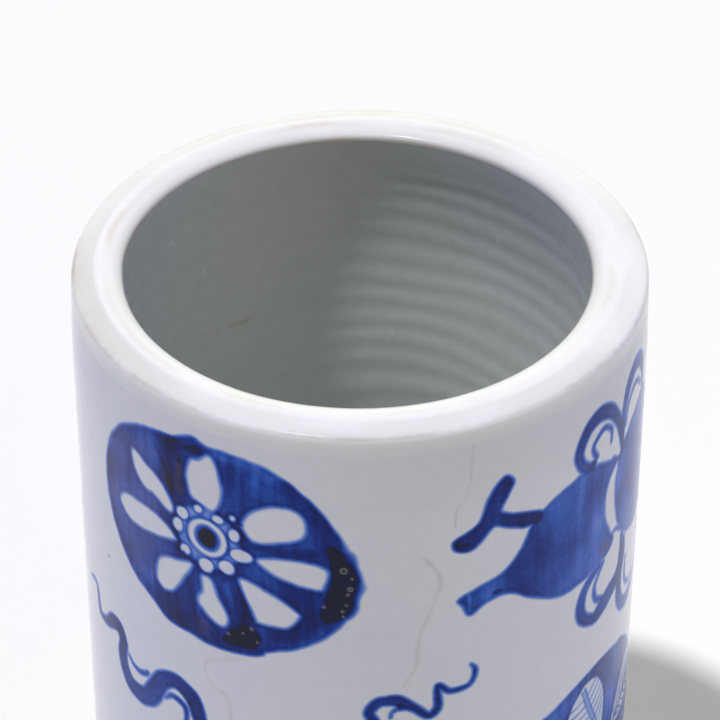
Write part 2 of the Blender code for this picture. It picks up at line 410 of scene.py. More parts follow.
def draw_gourd(canvas):
    """A double gourd on its side, tied at the waist, with a crutch behind its neck."""
    canvas.wash([
        (16.6, 36), (19.9, 34.3), (24, 32.8), (27.3, 30.3), (29.3, 26.9), (30.3, 24.9), (32.9, 22.6),
        (36.9, 20.9), (43, 20), (47.5, 21), (53.5, 24.3), (51.1, 26.6), (49.7, 30.9), (50.2, 35.1),
        (52.1, 39.1), (53.7, 41.4), (51.4, 43.5), (45.6, 44.4), (39.5, 44.5), (34.1, 42.7), (29.9, 40.1),
        (26.3, 37.8), (22.2, 38.1), (18.9, 39.9), (17.4, 37.6)
    ], tone=0.63, streaks=0.035, pool=0.06)
    canvas.shade([(28, 30.3), (32.9, 23.3), (36.9, 24.3), (37, 40.3), (33.1, 41.4), (28, 37.3)], 0.10)
    canvas.shade([(44.8, 21.2), (50.7, 23.2), (49.9, 30.3), (49, 38.4), (50.1, 43.4), (46.1, 43.4)], -0.09)
    canvas.band([(42.4, 21.6, 1.6), (41.9, 31.3, 2.2), (42.9, 43, 1.6)], -0.12, edge=1.2)
    canvas.band([(18.7, 35.6, 0.6), (18.9, 38.8, 0.6)], -0.35, edge=0.5)
    canvas.heap([(23.2, 35.9), (25.4, 35.7), (25.2, 37.1), (23.3, 37.1)], tone=0.98, edge=0.7)
    canvas.rust([(48.7, 40.6), (51.1, 40.4), (51.1, 42.4), (48.7, 42.4)], 0.7, edge=1.0)
    canvas.wash([
        (54.7, 23), (53.4, 27.7), (53.2, 30.9), (54.2, 37.2), (55.6, 40.2), (58.9, 44.1), (64.4, 46.3),
        (68.2, 46.3), (72.8, 45.1), (76.2, 41), (77, 34.3), (75.7, 26.7), (71.5, 20.4), (67.4, 17.6),
        (64.6, 17.5), (59.7, 19.5), (56, 22.1)
    ], tone=0.61, streaks=0.035, pool=0.06)
    canvas.stroke([(51.9, 23, 0.9), (54.3, 24.4, 1.1), (56.7, 22.7, 0.9)], 0.66)
    canvas.stroke([(52.7, 40.2, 0.8), (54.7, 40.2, 1.0), (56.8, 41.9, 0.8)], 0.55)
    draw_crutch(canvas)
    draw_gourd_bow(canvas)


def draw_crutch(canvas):
    canvas.wash([
        (25, 12), (26.6, 13.7), (25.5, 16.3), (24.3, 19.3), (28.5, 21.1), (32.3, 22.5), (32.9, 23.6),
        (32.4, 24.8), (29.3, 24.8), (26.6, 23.8), (23.5, 22.3), (22.3, 22.8), (19.6, 25.4), (17.8, 25.8),
        (16.2, 25.2), (15.6, 23.9), (16.2, 22.7), (20, 20.1), (21.8, 15.6), (23.2, 13.3)
    ], tone=0.82, streaks=0.03, pool=0.06)
    canvas.heap([(16.2, 24), (18.4, 23.3), (19.2, 24.4), (17.4, 25.2)], tone=0.96, edge=0.8)
    canvas.heap([(24.3, 13.9), (25.5, 13.2), (25.8, 14.7), (24.7, 15.7)], tone=0.94, edge=0.8)
    canvas.heap([(30.7, 23.1), (32.1, 23.2), (32, 24.5), (30.7, 24.4)], tone=0.94, edge=0.6)


def draw_gourd_bow(canvas):
    """The ribbon round the gourd's waist: two loops above and two below."""
    ribbon(canvas, [
        (44.9, 20.2, 1.8), (42.7, 19.1, 2.2), (41.3, 17, 2.3), (41.1, 14.8, 2.4), (42.3, 12.4, 2.6),
        (44, 10.9, 2.9), (46.3, 10.3, 3.1), (48.5, 10.8, 3.0), (50.5, 12.1, 2.7), (52.5, 14.5, 2.3),
        (54, 17.3, 2.0), (55.3, 22.5, 1.0)
    ], 0.71, inner=[
        (46, 18.9, 1.3), (44.9, 16.6, 1.0), (45.6, 15.2, 1.0), (48.2, 14, 1.2), (50.6, 15.9, 1.0),
        (50.7, 18.6, 0.6)
    ])
    ribbon(canvas, [
        (55.3, 21.6, 1.2), (55.3, 17.6, 1.6), (55.8, 13.8, 2.3), (57.5, 10.6, 2.8), (60.6, 8.8, 3.0),
        (63.8, 9.8, 2.7), (65.5, 12.9, 2.0), (66, 17, 1.5)
    ], 0.68, inner=[
        (56.3, 18.8, 0.8), (57, 15.6, 0.9), (58.2, 14, 1.0), (60.2, 12.8, 1.1), (62.5, 13.4, 1.0),
        (64.2, 15.1, 0.8)
    ])
    ribbon(canvas, [
        (57.5, 43.4, 1.2), (58, 47, 2.3), (57.8, 50.2, 3.0), (55.9, 52.5, 3.4), (52.9, 53.7, 3.9),
        (50.1, 54.9, 3.6), (47.8, 55.7, 2.5), (45.1, 54.2, 2.5), (43.6, 52.1, 2.6), (43.4, 49.6, 2.6),
        (44.3, 47.2, 2.4), (46.4, 45.4, 2.0), (48.7, 44.5, 1.4)
    ], 0.70, inner=[
        (49.9, 44.5, 1.2), (48.6, 46.3, 1.1), (47.5, 48, 1.1), (47.4, 50, 1.1), (48.2, 51.7, 1.1),
        (50.1, 52.8, 1.2)
    ])
    ribbon(canvas, [
        (58.8, 45.1, 1.2), (58.6, 49.2, 2.2), (57.5, 53.8, 2.4), (57.8, 57.9, 2.6), (59.8, 61.1, 2.8),
        (63.3, 62.2, 3.0), (66.9, 61.4, 2.6), (69.8, 58, 2.0), (70.6, 52.9, 1.6), (69, 48.1, 1.2)
    ], 0.66, inner=[
        (60.7, 50.8, 0.6), (60.4, 53.9, 0.8), (61.3, 57, 1.0), (63.8, 58.9, 1.0), (66.4, 58.2, 0.8)
    ])
    canvas.heap([(44.1, 19), (45.9, 19.1), (45.7, 20.6), (44.4, 20.6)], tone=0.96, edge=0.6)


def draw_front_ribbons(canvas):
    """The ends of the lower row's ribbons, which rise between the upper emblems."""
    ribbon(canvas, [
        (-63.6, 57.5, 0.3), (-60.9, 56.6, 0.8), (-59.6, 57.7, 1.0), (-59, 62, 1.6), (-57.4, 62.5, 1.6),
        (-55.1, 61.8, 2.2), (-52.8, 60, 3.2), (-50.6, 59.7, 3.2), (-49.3, 62.2, 2.6), (-49.7, 65.3, 3.0),
        (-49.1, 68.1, 3.2), (-47.4, 70.4, 3.6), (-44.7, 70.9, 3.9), (-42, 69.9, 4.0), (-40.1, 67.2, 4.3),
        (-38.1, 63.7, 3.8), (-35.8, 62.1, 3.4), (-33.5, 62.1, 3.6), (-31.2, 63.7, 3.8), (-30.1, 66, 3.4),
        (-29.4, 69.6, 3.0), (-30.4, 73.6, 2.6), (-30, 78.1, 2.2)
    ], 0.74, inner=[
        (-47.4, 64, 0.5), (-46.2, 65.1, 0.8), (-44.3, 65.5, 1.0), (-42.6, 64.9, 1.1), (-41.8, 64.2, 0.9)
    ])
    canvas.stroke([
        (-37.4, 67.2, 0.8), (-35.8, 65.8, 1.2), (-33.9, 66, 1.4), (-32.6, 67.1, 1.2), (-32.6, 70, 1.0),
        (-34, 72.7, 0.6)
    ], 0.64)
    ribbon(canvas, [
        (19.4, 50.9, 0.4), (20.1, 52.2, 0.9), (19.8, 54.3, 1.1), (18.6, 55.6, 1.1), (15.5, 55.8, 1.2),
        (13.4, 54.1, 1.2), (13.5, 58.3, 1.4), (13, 59.7, 1.6), (11.7, 60.5, 1.6), (9.2, 58.3, 1.8),
        (6.5, 56.4, 2.4), (4.4, 56.2, 2.2), (2.9, 56.6, 2.1), (1.6, 58.7, 1.9), (2.3, 60.5, 2.0),
        (3.5, 63.9, 2.0), (3.7, 68.5, 2.0), (1.3, 72.5, 1.8)
    ], 0.78, inner=[
        (5.2, 60, 0.6), (5.4, 59, 0.7), (6.2, 58.3, 0.8), (7.4, 58.1, 1.0)
    ])
    canvas.heap([(6.2, 57), (7.7, 57.2), (6.8, 58.2)], tone=0.98, edge=0.5)


def draw_leaf_disc(canvas):
    """A round disc of the lower row: four veined white leaves on a blue ground with a darker border."""
    canvas.wash([
        (34.4, 71.1), (36.4, 70.7), (40.4, 69.2), (44.5, 68.2), (51.1, 67.7), (54.7, 68.3), (59, 69.5),
        (62.2, 71), (65.2, 73.2), (68.2, 77.2), (70.8, 83.2), (71.4, 89.2), (69.8, 96.2), (65.2, 102.6),
        (58.6, 106.6), (50.7, 107.2), (43.5, 105.2), (37.4, 100.7), (33.4, 94.1), (31.8, 86.6),
        (31.8, 78.6), (32.8, 73.7)
    ], tone=0.65, pool=0.14)
    canvas.rust([(49.6, 68.9), (51.6, 68.9), (52.1, 70.6), (50.2, 70.7)], 0.2, edge=1.0)
    centre = (53.4, 90.1)
    for turn in (-17.6, 72.6, 162, 252):
        draw_veined_leaf(canvas, placed(centre, turn))
    canvas.wash(circle(centre, 3.2), 0.8)
    canvas.reserve(circle(centre, 1.6))


def draw_veined_leaf(canvas, place):
    """A broad white leaf that points up, with a double midrib and fine side veins."""
    canvas.reserve(place([
        (-8.2, -15.3), (-6, -18.8), (-3.9, -20.2), (-1, -21), (1.8, -20.1), (3.2, -17.9), (3.8, -15),
        (3.5, -11.5), (2, -7), (0, -4.4), (-3, -6.5), (-6.5, -10.5)
    ]), left=0.10)
    for side in (-0.45, 0.45):
        canvas.stroke(place([(-1.6 + side, -20, 0.4), (-1.1 + side, -13, 0.4), (side, -5.6, 0.3)]), 0.5)
    for k in range(7):
        y = -17.8 + 1.9 * k
        left, right = 6.2 - 0.22 * (k - 1) ** 2, 4.8 - 0.12 * (k - 2) ** 2
        left_vein = [(-2.0, y, 0.4), (-1.6 - left * 0.6, y - 0.6, 0.4), (-1.6 - left, y - 1.6, 0.3)]
        right_vein = [(-0.8, y, 0.4), (-1 + right * 0.6, y - 1, 0.4), (-1 + right, y - 2.4, 0.3)]
        for vein in (left_vein, right_vein):
            canvas.stroke(place(vein), 0.42, edge=0.3)


# ---------------------------------------------------------------- emblems round the back

def draw_bow(canvas, place, tone=0.76):
    """Four ribbon loops and two tails, tied at (0, 0)."""
    for flip in (1, -1):
        ribbon(canvas, place([
            (0, 0, 1.1), (flip * 3, -4.5, 1.9), (flip * 7.5, -7.5, 2.3), (flip * 10.8, -5, 2.4),
            (flip * 9.6, -1.4, 2.1), (flip * 5, 0.2, 1.6), (0, 0.4, 1.1)
        ]), tone, inner=place([
            (flip * 3.2, -2, 0.6), (flip * 5.6, -4.6, 0.9), (flip * 8, -4.2, 0.9), (flip * 7.6, -2, 0.6)
        ]))
        ribbon(canvas, place([
            (0, 0, 1.1), (flip * 3, 4.4, 1.8), (flip * 2.4, 9, 2.0), (flip * 5.4, 12.6, 2.1),
            (flip * 9.4, 11.4, 1.8), (flip * 11.4, 13.6, 1.4), (flip * 13.6, 12, 0.4)
        ]), tone * 0.97)
    canvas.wash(place([(-1.4, -1.2), (1.4, -1.2), (1.6, 1.2), (-1.6, 1.2)]), tone + 0.14)


def draw_palm_fan(canvas, place):
    """A broad palm-leaf fan with ribs that spread from its handle."""
    canvas.wash(place([
        (0, 15), (-9, 12), (-17, 5), (-19, -4), (-14, -12), (-5, -15), (5, -15), (14, -12), (19, -4),
        (17, 5), (9, 12)
    ]), 0.66, pool=0.25)
    canvas.reserve(place([
        (0, 11), (-8, 8.4), (-14.4, 2.6), (-15.8, -4), (-11.6, -9.8), (-4, -12), (4, -12), (11.6, -9.8),
        (15.8, -4), (14.4, 2.6), (8, 8.4)
    ]), left=0.1)
    for k in range(-6, 7):
        angle = math.radians(k * 13)
        reach = 22 - abs(k) * 0.55
        x, y = reach * math.sin(angle), reach * math.cos(angle)
        canvas.stroke(place([(0, 11.5, 0.9), (x / 2, 11.5 - y / 2, 0.7), (x, 11.5 - y, 0.4)]), 0.58)
    canvas.stroke(place([(0, 12, 2.4), (0.4, 18, 1.6), (0, 24, 2.2)]), 0.86)
    draw_bow(canvas, shifted(place, 19, wide=0.7, high=0.7))


def draw_sword(canvas, place):
    """A straight sword with a guard, a tassel and a ribbon."""
    canvas.wash(place([(-26, 0), (-22, -1.8), (8, -2), (8, 2), (-22, 1.8)]), 0.52, pool=0.35)
    canvas.stroke(place([(-23, 0, 0.4), (0, 0, 0.5), (8, 0, 0.5)]), 0.78)
    canvas.wash(place([
        (8, -5), (10.6, -4), (10.2, 0), (10.6, 4), (8, 5), (6.8, 2), (7.6, 0), (6.8, -2)
    ]), 0.9)
    canvas.stroke(place([(10.4, 0, 2.4), (15, 0, 2.6), (18, 0, 3.4)]), 0.84)
    for k in range(5):
        thread = [(19.4, 0, 0.9), (22 + k * 0.5, 2 + k, 0.7), (24 - k * 0.6, 8 + k * 0.8, 0.5)]
        canvas.stroke(place(thread), 0.7)
    draw_bow(canvas, shifted(place, 1, across=-3, high=0.9))


def draw_flute(canvas, place):
    """A bamboo flute with joints, finger holes and a ribbon."""
    canvas.wash(place([
        (-25, -1.9), (25, -1.9), (25.6, 0), (25, 1.9), (-25, 1.9), (-25.6, 0)
    ]), 0.6, pool=0.3)
    for x in (-19, -7, 8, 20):
        canvas.stroke(place([(x, -2.6, 1.0), (x + 0.2, 0, 0.9), (x, 2.6, 1.0)]), 0.92)
    for x in (-14, -3, 0.6, 4.2, 12, 15.6):
        canvas.reserve(place(circle((x, -0.2), 0.9)), edge=0.25)
    draw_bow(canvas, shifted(place, 1, across=2))


def draw_clappers(canvas, place):
    """A pair of long wooden clappers, crossed and tied at the top."""
    for flip in (1, -1):
        blade = [
            (-2 * flip, -15), (3 * flip, -14), (7.6 * flip, 2), (8.6 * flip, 16), (5 * flip, 18.4),
            (0.8 * flip, 17)
        ]
        canvas.wash(place(blade), 0.68, pool=0.25)
        canvas.reserve(place([(x * 0.72 + flip, y * 0.8 + 0.6) for x, y in blade]), left=0.2)
        canvas.stroke(place([(1.2 * flip, -10, 0.5), (3.4 * flip, 2, 0.6), (4.4 * flip, 14, 0.5)]), 0.6)
    draw_bow(canvas, shifted(place, -14, wide=0.9, high=0.8))


def draw_flower_basket(canvas, place):
    """A woven basket with a tall handle and three blossoms."""
    canvas.stroke(place([(-10, 2, 1.3), (-9, -10, 1.2), (0, -18, 1.5), (9, -10, 1.2), (10, 2, 1.3)]), 0.82)
    canvas.wash(place([(-12, 1), (0, 3), (12, 1), (9.4, 14), (5, 17), (-5, 17), (-9.4, 14)]), 0.6, pool=0.3)
    for k in range(-3, 4):
        canvas.stroke(place([(k * 3.2, 2.6, 0.6), (k * 2.5, 15.8, 0.6)]), 0.9)
    for y in (5.5, 9, 12.6):
        side = 10.6 - y * 0.14
        canvas.stroke(place([(-side, y - 0.6, 0.6), (0, y + 0.8, 0.6), (side, y - 0.6, 0.6)]), 0.9)
    for x, y in ((-6, -2.6), (0.4, -6), (6.4, -2.4)):
        for k in range(5):
            angle = k * TURN / 5
            petal = circle((x + 2.3 * math.cos(angle), y + 2.3 * math.sin(angle)), 1.5, count=8)
            canvas.wash(place(petal), 0.55, pool=0.3)
        canvas.wash(place(circle((x, y), 1.1, count=8)), 0.95)
    for flip in (1, -1):
        ribbon(canvas, place([
            (flip * 10, -4, 1.0), (flip * 15, -7, 1.8), (flip * 18, -3, 2.0), (flip * 15.6, 2, 1.8),
            (flip * 18.4, 7, 1.6), (flip * 21.4, 6, 0.5)
        ]), 0.76)


def draw_fish_drum(canvas, place):
    """A bamboo drum on the slant, with a pair of rods."""
    canvas.wash(place([(-4.6, -17), (4.6, -17), (5, 0), (4.6, 17), (0, 18.4), (-4.6, 17), (-5, 0)]), 0.7)
    canvas.reserve(place(circle((0, -17), 4.2, squash=0.5)), left=0.15)
    canvas.stroke(place([(*p, 0.8) for p in circle((0, -17), 4.6, squash=0.5)]), 0.85, closed=True)
    for y in (-9, 2, 12):
        canvas.stroke(place([(-4.8, y - 0.8, 0.9), (0, y + 0.8, 0.9), (4.8, y - 0.8, 0.9)]), 0.95)
    for flip in (1, -1):
        canvas.stroke(place([(flip * 2, -18, 1.2), (flip * 7, -26, 1.3), (flip * 9.6, -31, 2.2)]), 0.84)
    draw_bow(canvas, shifted(place, 3, wide=1.05))


def draw_back_ribbons(canvas):
    """Loose ribbon ends that fill the ground between the back emblems."""
    ends = (
        (84, 58, 10), (-58, 98, -15), (-150, 54, 8), (20, 96, 20), (152, 26, -30), (-96, 62, 25),
        (80, 114, 5), (136, 116, -8),
    )
    for s, t, turn in ends:
        place = placed((s, t), turn)
        ribbon(canvas, place([
            (-13, 4, 0.4), (-10, 0.6, 1.2), (-6.4, 2.4, 1.6), (-3.4, 5, 2.0), (0.6, 3, 2.3),
            (2.4, -1.6, 2.4), (6.4, -3.4, 2.2), (9.6, -0.6, 1.8), (12.6, -1.6, 0.6)
        ]), 0.74, inner=place([(-2.6, 3.2, 0.5), (0, 0.6, 0.8), (1.4, -2.4, 0.5)]))


def draw_glaze_flows(canvas):
    """Faint flow lines where the glaze ran in the kiln."""
    canvas.craze([
        (20.8, 2.4), (19.1, 3.3), (18.8, 6.7), (18.1, 12.7), (16.2, 16.4), (15.9, 20)
    ], 0.95, width=0.45)
    canvas.craze([
        (10.7, 25.4), (13, 29.1), (13.5, 31.4), (12, 36.9), (9.9, 43.1), (9.6, 48.7), (7.4, 53.1)
    ], 0.7)
    canvas.craze([(-20, 49.9), (-27.6, 53.6), (-26.9, 58.1), (-23.6, 60.5), (-22.9, 66)], 0.7)
    canvas.craze([(-92, 4), (-95, 14), (-90, 24), (-93, 34)], 0.5)
    canvas.craze([(104, 60), (100, 68), (103, 80), (99, 92)], 0.5)


def painted_canvas():
    canvas = Canvas()
    draw_flower_disc(canvas)
    draw_gourd(canvas)
    draw_front_ribbons(canvas)
    draw_leaf_disc(canvas)
    draw_flower_basket(canvas, placed((-16, 88)))
    draw_palm_fan(canvas, placed((116, 28), 6, 1.2))
    draw_sword(canvas, placed((-100, 90), 16, 1.2))
    draw_flute(canvas, placed((-110, 28), -22, 1.25))
    draw_clappers(canvas, placed((110, 90), 0, 1.15))
    draw_fish_drum(canvas, placed((-158, 88), 24, 0.95))
    draw_back_ribbons(canvas)
    draw_glaze_flows(canvas)
    under_rim = 0.25 * smoothstep(22, 8, canvas.t)[:, None] * smoothstep(0.3, 0, canvas.ink)
    canvas.stain = np.maximum(canvas.stain, under_rim)  # the coat is darker and warmer in a band under the rim
    return canvas


# ---------------------------------------------------------------- meshes

def grid_object(name, points, material, wrap=True, flip=False):
    """A mesh from rows of points, each row joined to the next, and each row's ends joined too if it wraps."""
    rows, columns = points.shape[:2]
    index = np.arange(rows * columns).reshape(rows, columns)
    right = np.roll(index, -1, axis=1) if wrap else index[:, 1:]
    left = index if wrap else index[:, :-1]
    corners = [left[:-1], left[1:], right[1:], right[:-1]]
    quads = np.stack(corners[::-1] if flip else corners, axis=-1).reshape(-1, 4)
    mesh = bpy.data.meshes.new(name)
    mesh.from_pydata(points.reshape(-1, 3).tolist(), [], quads.tolist())
    mesh.shade_smooth()
    mesh.materials.append(material)
    obj = bpy.data.objects.new(name, mesh)
    bpy.context.scene.collection.objects.link(obj)
    return obj


def add_values(obj, name, values):
    """Stores one number for each point, for the material to read."""
    attribute = obj.data.attributes.new(name, "FLOAT", "POINT")
    attribute.data.foreach_set("value", np.asarray(values, np.float32).ravel())


def around(columns):
    """Angles round the pot, starting at the back, so that the middle of the list is the front."""
    return (np.arange(columns) / columns - 0.5) * TURN


def turned_points(radius, z, angles, shift=0.0):
    """Points of a turned surface. Radius and z may vary over it, and shift slides its rows sideways."""
    radius, z, shift = np.broadcast_arrays(radius, z, shift)
    x = radius * np.sin(angles) + shift * MOUTH_SHIFT[0]
    y = -radius * np.cos(angles) + shift * MOUTH_SHIFT[1]
    return np.stack([x, y, z + 0 * x], axis=-1)


def mouth_waver(angles):
    """The mouth isn't a true circle."""
    return 0.00008 * np.sin(2 * angles + 1.1)


def wall_radius(angles, z):
    """The outside wall: it draws in at the rim and is nowhere quite true."""
    draw = RIM_DRAW_IN * smoothstep(HEIGHT - DRAW_IN_LENGTH, HEIGHT, z)
    waver = 1.0 + 0.5 * np.sin(2 * angles + 0.7) + 0.3 * np.sin(3 * angles - z * 130)
    waver = waver + 0.2 * np.sin(z * 310 + angles)
    return OUTER_R - draw - 0.00005 * waver * smoothstep(0, 0.004, z)


def normals_of(points):
    """Unit normals of a grid that wraps round, pointing outwards."""
    across = np.roll(points, -1, axis=1) - np.roll(points, 1, axis=1)
    down = np.gradient(points, axis=0)
    normal = np.cross(down, across)
    return normal / np.linalg.norm(normal, axis=-1, keepdims=True)


def make_outer_glaze(canvas, material):
    """The painted coat, in upright panels whose edges meet and shade as one surface."""
    angles = around(COLUMNS)[None, :]
    wall = turned_points(wall_radius(angles, canvas.z[:, None]), canvas.z[:, None], angles)
    normals = normals_of(wall)
    fold = turned_points(wall_radius(angles, SKIRT_Z) - GLAZE * 0.8, SKIRT_Z, angles)
    low = canvas.z[-1]
    bead = []
    for turn in (30, 60, 90, 130):
        inward = GLAZE * 0.9 * (1 - math.cos(math.radians(turn)))
        below = GLAZE * 0.9 * math.sin(math.radians(turn))
        bead.append(turned_points(wall_radius(angles, low) - inward, low - below, angles))
    points = np.concatenate([np.broadcast_to(fold, (1, COLUMNS, 3)), wall] + bead)
    up = np.zeros((1, COLUMNS, 3))
    up[..., 2] = 1
    all_normals = np.concatenate([up, normals, normals_of(np.concatenate([wall[-2:]] + bead))[2:]])
    coats = {"ink": canvas.ink, "stain": canvas.stain, "iron": canvas.iron}
    width = COLUMNS // PANELS
    pieces = []
    for panel in range(PANELS):
        columns = np.arange(panel * width, (panel + 1) * width + 1) % COLUMNS
        obj = grid_object(f"outer_glaze_{panel + 1}", points[:, columns], material, wrap=False)
        obj.data.normals_split_custom_set_from_vertices(all_normals[:, columns].reshape(-1, 3).tolist())
        for name, values in coats.items():
            add_values(obj, name, np.pad(values[:, columns], ((1, len(bead)), (0, 0))))
        pieces.append(obj)
    return pieces


def arc(centre_r, centre_z, radius, start, end):
    """Places on an arc about RIM_STEP apart or closer, as rows of (r, z)."""
    count = max(6, int(abs(end - start) * radius / RIM_STEP))
    angles = np.linspace(start, end, count)
    return np.column_stack([centre_r + radius * np.cos(angles), centre_z + radius * np.sin(angles)])


def rim_outline():
    """The rim from its outside corner over the crest to the mouth, as rows of (r, z)."""
    up = math.pi / 2
    rim_r = OUTER_R - RIM_DRAW_IN
    outer_dome = (rim_r - OUTER_CORNER * (1 - math.sin(OUTER_TILT)) - CREST_R) / math.sin(OUTER_TILT)
    inner_dome = (CREST_R - MOUTH_R - INNER_CORNER * (1 - math.sin(INNER_TILT))) / math.sin(INNER_TILT)
    outer_z = HEIGHT - outer_dome + (outer_dome - OUTER_CORNER) * math.cos(OUTER_TILT)
    inner_z = HEIGHT - inner_dome + (inner_dome - INNER_CORNER) * math.cos(INNER_TILT)
    return np.vstack([
        arc(rim_r - OUTER_CORNER, outer_z, OUTER_CORNER, 0, up - OUTER_TILT),
        arc(CREST_R, HEIGHT - outer_dome, outer_dome, up - OUTER_TILT, up)[1:],
        arc(CREST_R, HEIGHT - inner_dome, inner_dome, up, up + INNER_TILT)[1:],
        arc(MOUTH_R + INNER_CORNER, inner_z, INNER_CORNER, up + INNER_TILT, math.pi)[1:],
    ])


def make_rim(material):
    """The coat over the rim, with its skirt outside, its lip inside, the marks that use left on it and
    painted shade on the mouth's inner rounding.
    """
    over = rim_outline()
    skirt = np.column_stack([np.full(8, over[0, 0]), np.linspace(SKIRT_Z, over[0, 1], 9)[:-1]])
    lip_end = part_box("rim_glaze")[0].z - 0.001
    under_z = np.linspace(over[-1, 1], lip_end, 14)[1:]
    under = np.column_stack([np.maximum(MOUTH_R, well_radius(under_z)), under_z])
    outline = np.vstack([skirt, over, under])
    angles = around(COLUMNS)[None, :]
    r, z = outline[:, :1], outline[:, 1:]
    low = OUTER_R - RIM_DRAW_IN - wall_radius(angles, z)
    on_skirt = smoothstep(CREST_R, over[0, 0], r)
    inward = smoothstep(CREST_R + 0.002, MOUTH_R, r)
    shape = (len(outline), COLUMNS)
    spacing = (RIM_STEP / MM, TURN * OUTER_R / MM / COLUMNS)
    noise = soft_noise(shape, spacing, (2.5, 6.0), SEED + 5)
    fine = soft_noise(shape, spacing, (0.6, 0.9), SEED + 6)
    lip = smoothstep(over[-1, 1] + 0.0001, over[-1, 1] - 0.0003, z) * (r < CREST_R)
    waver = inward * (mouth_waver(angles) + 0.00002 * noise * (1 - lip))
    step_r = 0.0455 + 0.0002 * np.sin(angles * 2 + 0.5)
    dip = 0.00010 * smoothstep(step_r - 0.0002, step_r + 0.0002, r)
    sag = 0.00012 * (1 + np.sin(angles * 2 - 0.6)) / 2 + 0.00002 * np.abs(noise)
    level = smoothstep(over[0, 1] - 0.002, over[0, 1], z)
    points = turned_points(r - low * on_skirt + waver, z - (dip + sag) * level, angles, shift=inward)
    obj = grid_object("rim_coat", points, material, flip=True)

    height_of_corner = over[0, 1] + OUTER_CORNER * 0.75
    outer_line = bell(z - height_of_corner, 0.00022) * (r > CREST_R)
    outer_band = smoothstep(step_r - 0.0001, step_r + 0.0002, r)
    outer_band = outer_band * smoothstep(over[0, 1] - 0.0002, over[0, 1] + 0.0006, z)
    # Painted shade: the mouth's inner rounding is greyed, most at the left and right sides.
    edge_shade = smoothstep(MOUTH_R + 0.0024, MOUTH_R + 0.0001, r) * (0.55 + 0.35 * np.abs(np.sin(angles)))
    inner_line = bell(z - (over[-1, 1] + 0.0003), 0.0003) * (r < CREST_R)
    middle_line = bell(r - 0.0434 - 0.0002 * noise, 0.0007) * (z > over[-1, 1])
    patchy = np.clip(0.55 + 0.45 * noise, 0, 1.4)
    # The outer band is darker and beiger towards the left front.
    left_front = bell((angles + 1.25 + TURN / 2) % TURN - TURN / 2, 0.55)
    left_front_tint = left_front * smoothstep(0.0455, 0.047, r) * np.clip(0.6 + 0.3 * fine, 0, 1)
    back_inner = np.clip(-np.cos(angles), 0, 1) * smoothstep(MOUTH_R + 0.006, MOUTH_R + 0.002, r)
    back_inner = back_inner * (r < CREST_R + 0.001)
    beige = 0.5 * middle_line * patchy + 0.35 * left_front_tint + 0.12 * back_inner
    brown = outer_line * np.clip(0.10 + 0.16 * noise + 0.1 * fine, 0, 0.5)
    brown = brown + inner_line * np.clip(0.4 + 0.3 * noise, 0, 0.8)
    add_values(obj, "lip", lip + 0 * angles)
    # The skirt below the outer corner is greyer.
    under_rim = 0.5 * smoothstep(over[0, 1] + 0.0006, over[0, 1] - 0.0002, z)
    add_values(obj, "grey_and_shade", under_rim + outer_band * (0.28 + 0.5 * left_front + 0.1 * noise) + edge_shade)
    add_values(obj, "stain", np.clip(beige, 0, 1))
    add_values(obj, "iron", np.clip(brown, 0, 1))
    return obj


def well_radius(z):
    """The inside wall widens a little under the rim and then narrows towards the floor."""
    profile = curve_through(WELL)
    return np.interp((HEIGHT - z) / MM, profile[:, 0], profile[:, 1]) * MM


def make_lining(material):
    """The glazed inside: throwing rings that climb the wall, the fillet and the floor."""
    angles = around(LINING_COLUMNS)[None, :]
    top_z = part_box("rim_glaze")[0].z - 0.001
    wall_z = np.linspace(top_z, FLOOR_Z + FILLET, LINING_ROWS)
    wall = np.column_stack([well_radius(wall_z), wall_z])
    bend = arc(well_radius(FLOOR_Z + FILLET) - FILLET, FLOOR_Z + FILLET, FILLET, 0, -math.pi / 2)[1:]
    floor_r = np.linspace(bend[-1, 0], 0.0003, 60)[1:]
    outline = np.vstack([wall, bend, np.column_stack([floor_r, np.full(len(floor_r), FLOOR_Z)])])
    r, z = outline[:, :1], outline[:, 1:]
    shape = (len(outline), LINING_COLUMNS)
    noise = soft_noise(shape, (0.5, 0.5), (6, 12), SEED + 7)
    phase = TURN * (z / RING_PITCH + angles / TURN) + 0.9 * noise
    reach = smoothstep(top_z, top_z - 0.008, z) * smoothstep(FLOOR_Z + 0.001, FLOOR_Z + 0.012, z)
    ring = 0.5 + 0.5 * np.sin(phase)
    shift = smoothstep(HEIGHT - 0.035, HEIGHT - 0.006, z)
    radius = r + reach * (0.00008 * ring + 0.00002 * noise) + shift * mouth_waver(angles)
    points = turned_points(radius, z, angles, shift=shift)
    flat_r = WELL[-1][1] * MM - FILLET
    spiral = 0.00015 * np.sin(TURN * (r / 0.006 - angles / TURN)) * smoothstep(flat_r, 0.03, r)
    points[..., 2] += np.where(z <= FLOOR_Z + 1e-6, np.abs(spiral), 0)
    obj = grid_object("inner_lining", points, material, flip=True)
    add_values(obj, "ring", ring * reach)
    back_left = math.radians(-147)  # where something hard scraped the wall
    scrape_z = HEIGHT - 0.0366 - 0.0005 * np.sin(angles * 9)
    scrape = bell(z - scrape_z, 0.0005) * bell(angles - back_left, 0.24)
    broken = np.clip(0.5 + 0.6 * soft_noise(shape, (0.5, 0.5), (0.6, 1.2), SEED + 10), 0, 1.4)
    add_values(obj, "mark", scrape * broken)
    return obj


